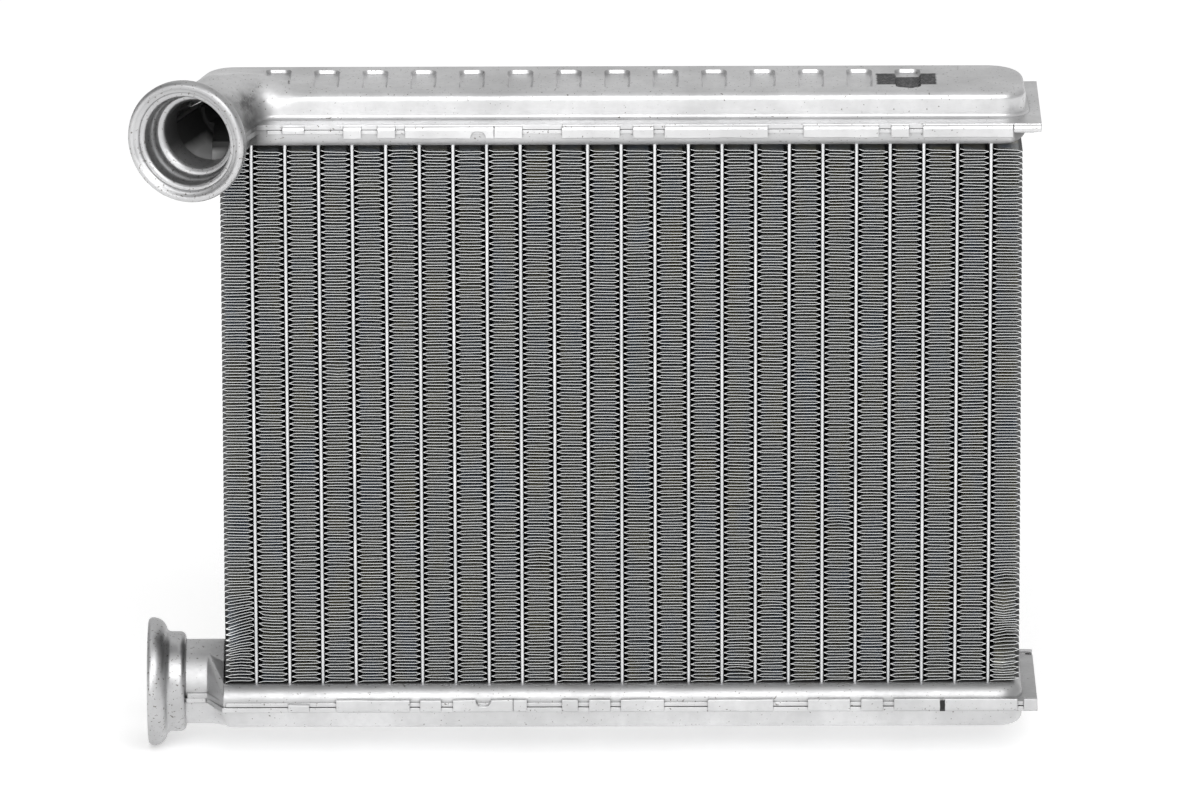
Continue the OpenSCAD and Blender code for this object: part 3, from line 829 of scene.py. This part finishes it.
def floor():
    half = 6
    mesh = bpy.data.meshes.new("floor")
    mesh.from_pydata([(-half, -half, 0), (half, -half, 0), (half, half, 0), (-half, half, 0)], [], [(0, 1, 2, 3)])
    ob = bpy.data.objects.new("floor", mesh)
    bpy.context.scene.collection.objects.link(ob)
    paint = Nodes("white floor")
    paint.shader.inputs["Base Color"].default_value = (0.93, 0.93, 0.93, 1)
    paint.shader.inputs["Emission Color"].default_value = (1, 1, 1, 1)
    paint.shader.inputs["Emission Strength"].default_value = 0.36
    paint.shader.inputs["Roughness"].default_value = 0.9
    mesh.materials.append(paint.material)


camera()
floor()
world()
area_light("key", (300, -1500, 1300), (1.4, 1.2), 14)
area_light("fill", (-700, -1500, 500), (1.6, 0.7), 7)
bpy.context.scene.view_settings.view_transform = "Standard"

TANK_METAL = sheet_metal("tank sheet", (0.72, 0.72, 0.725), 0.36, 0.35, 0.70, 0.9, (saddle_smudge, neck_shade, roof_ink, tab_paint))
HEADER_METAL = sheet_metal("header sheet", (0.62, 0.62, 0.625), 0.42, 0.5, 0.70, 0.8, (dark_throat, throat_floor_painted_light, under_neck_painted_shade, end_corner_painted_shade))
COUPLING_METAL = sheet_metal("coupling metal", (0.57, 0.57, 0.575), 0.36, 0.25, 0.66, 0.5, (dark_bore,))
TUBE_METAL = bright_metal()
FIN_METAL = fin_metal()

# A folded tab is given as left, right, drop and its notches, in millimetres from the middle of the core
PLAIN, SHORT = 3.7, 2.4
UPPER_TABS = (
    (-90.5, -84.6, SHORT), (-74.2, -69.4, PLAIN), (-65.1, -60.3, PLAIN), (-57.7, -34.0, PLAIN, (-38.2, 2.1)),
    (-33.85, -26.4, PLAIN), (-15.8, -0.3, PLAIN), (3.2, 8.7, PLAIN), (11.6, 39.2, PLAIN), (48.7, 68.8, PLAIN),
    (72.1, 76.9, PLAIN), (80.6, 104.7, PLAIN), (104.85, 112.2, 2.2),
)
LOWER_TABS = (
    (-90.4, -84.7, SHORT), (-77.4, -57.5, PLAIN), (-54.7, -49.0, PLAIN), (-45.8, -29.6, PLAIN, (-37.6, 2.1)),
    (-29.45, -25.8, PLAIN), (-16.3, -12.0, PLAIN), (-9.0, -3.2, PLAIN), (-0.4, 11.3, PLAIN), (23.1, 40.8, PLAIN),
    (50.2, 61.6, PLAIN), (64.6, 70.5, PLAIN), (73.5, 106.9, PLAIN), (108.6, 112.2, 3.6),
)


def upper_cover():
    neck = Neck(70, 28.0, 15)
    meet_front = neck.at((-DOME_HALF - NECK_R * neck.side[1]) / neck.along[1], NECK_R)
    meet_back = neck.at((DOME_HALF + NECK_R * neck.side[1]) / neck.along[1], -NECK_R)
    corners = [(*neck.at(neck.length, NECK_R), 0), (*meet_front, 5), (TANK_RIGHT, -DOME_HALF, CORNER_R),
               (TANK_RIGHT - 0.5, DOME_HALF, 10), (*meet_back, 9), (*neck.at(neck.length, -NECK_R), 0)]
    flange = [neck.at(27.4, NECK_SIDE), neck.at(18.5, NECK_SIDE), (-95.5, -FLANGE_HALF), (FLANGE_RIGHT, -FLANGE_HALF),
              (FLANGE_RIGHT, FLANGE_HALF), (-106.5, FLANGE_HALF), neck.at(3, -NECK_SIDE), neck.at(27.4, -NECK_SIDE)]
    return cover("upper_tank_cover", 1, neck, corners, (12.5, 27), (14, 34), np.array(flange), UPPER_TABS, TANK_METAL)


def lower_cover():
    neck = Neck(0, 15.5, 9)
    corners = [(*neck.at(15.5, NECK_R), 0), (*neck.at(9, NECK_R), 4), (*neck.at(4.5, DOME_HALF), 4),
               (TANK_RIGHT, -DOME_HALF, CORNER_R), (TANK_RIGHT, DOME_HALF, CORNER_R),
               (*neck.at(4.5, -DOME_HALF), 4), (*neck.at(9, -NECK_R), 4), (*neck.at(15.5, -NECK_R), 0)]
    flange = [neck.at(14.9, NECK_SIDE), neck.at(9.6, NECK_SIDE), (-108.2, -FLANGE_HALF), (FLANGE_RIGHT, -FLANGE_HALF),
              (FLANGE_RIGHT, FLANGE_HALF), (-108.2, FLANGE_HALF), neck.at(9.6, -NECK_SIDE), neck.at(14.9, -NECK_SIDE)]
    return cover("lower_tank_cover", -1, neck, corners, (5, 14), (5, 14), np.array(flange), LOWER_TABS, TANK_METAL)


upper_cover()
lower_cover()
inlet_away = np.array((-math.cos(math.radians(70)), -math.sin(math.radians(70)), 0))
coupling("inlet_coupling", np.array((ROOT_X, 0, SEAM_Z + NECK_RISE - 0.4)) + inlet_away * 38.3, inlet_away, 16.6,
         COUPLING_METAL)
coupling("outlet_coupling", np.array((ROOT_X - 25.8, 0, NECK_RISE - SEAM_Z)), np.array((-1.0, 0, 0)), 17.4,
         COUPLING_METAL)
for i in range(1, 25):
    fin_strip(i, FIN_METAL)
for node_name, ob in frame["nodes"].items():
    if node_name.startswith("tube") or "header" in node_name:
        ob.data.materials.clear()
        ob.data.materials.append(TUBE_METAL if node_name.startswith("tube") else HEADER_METAL)
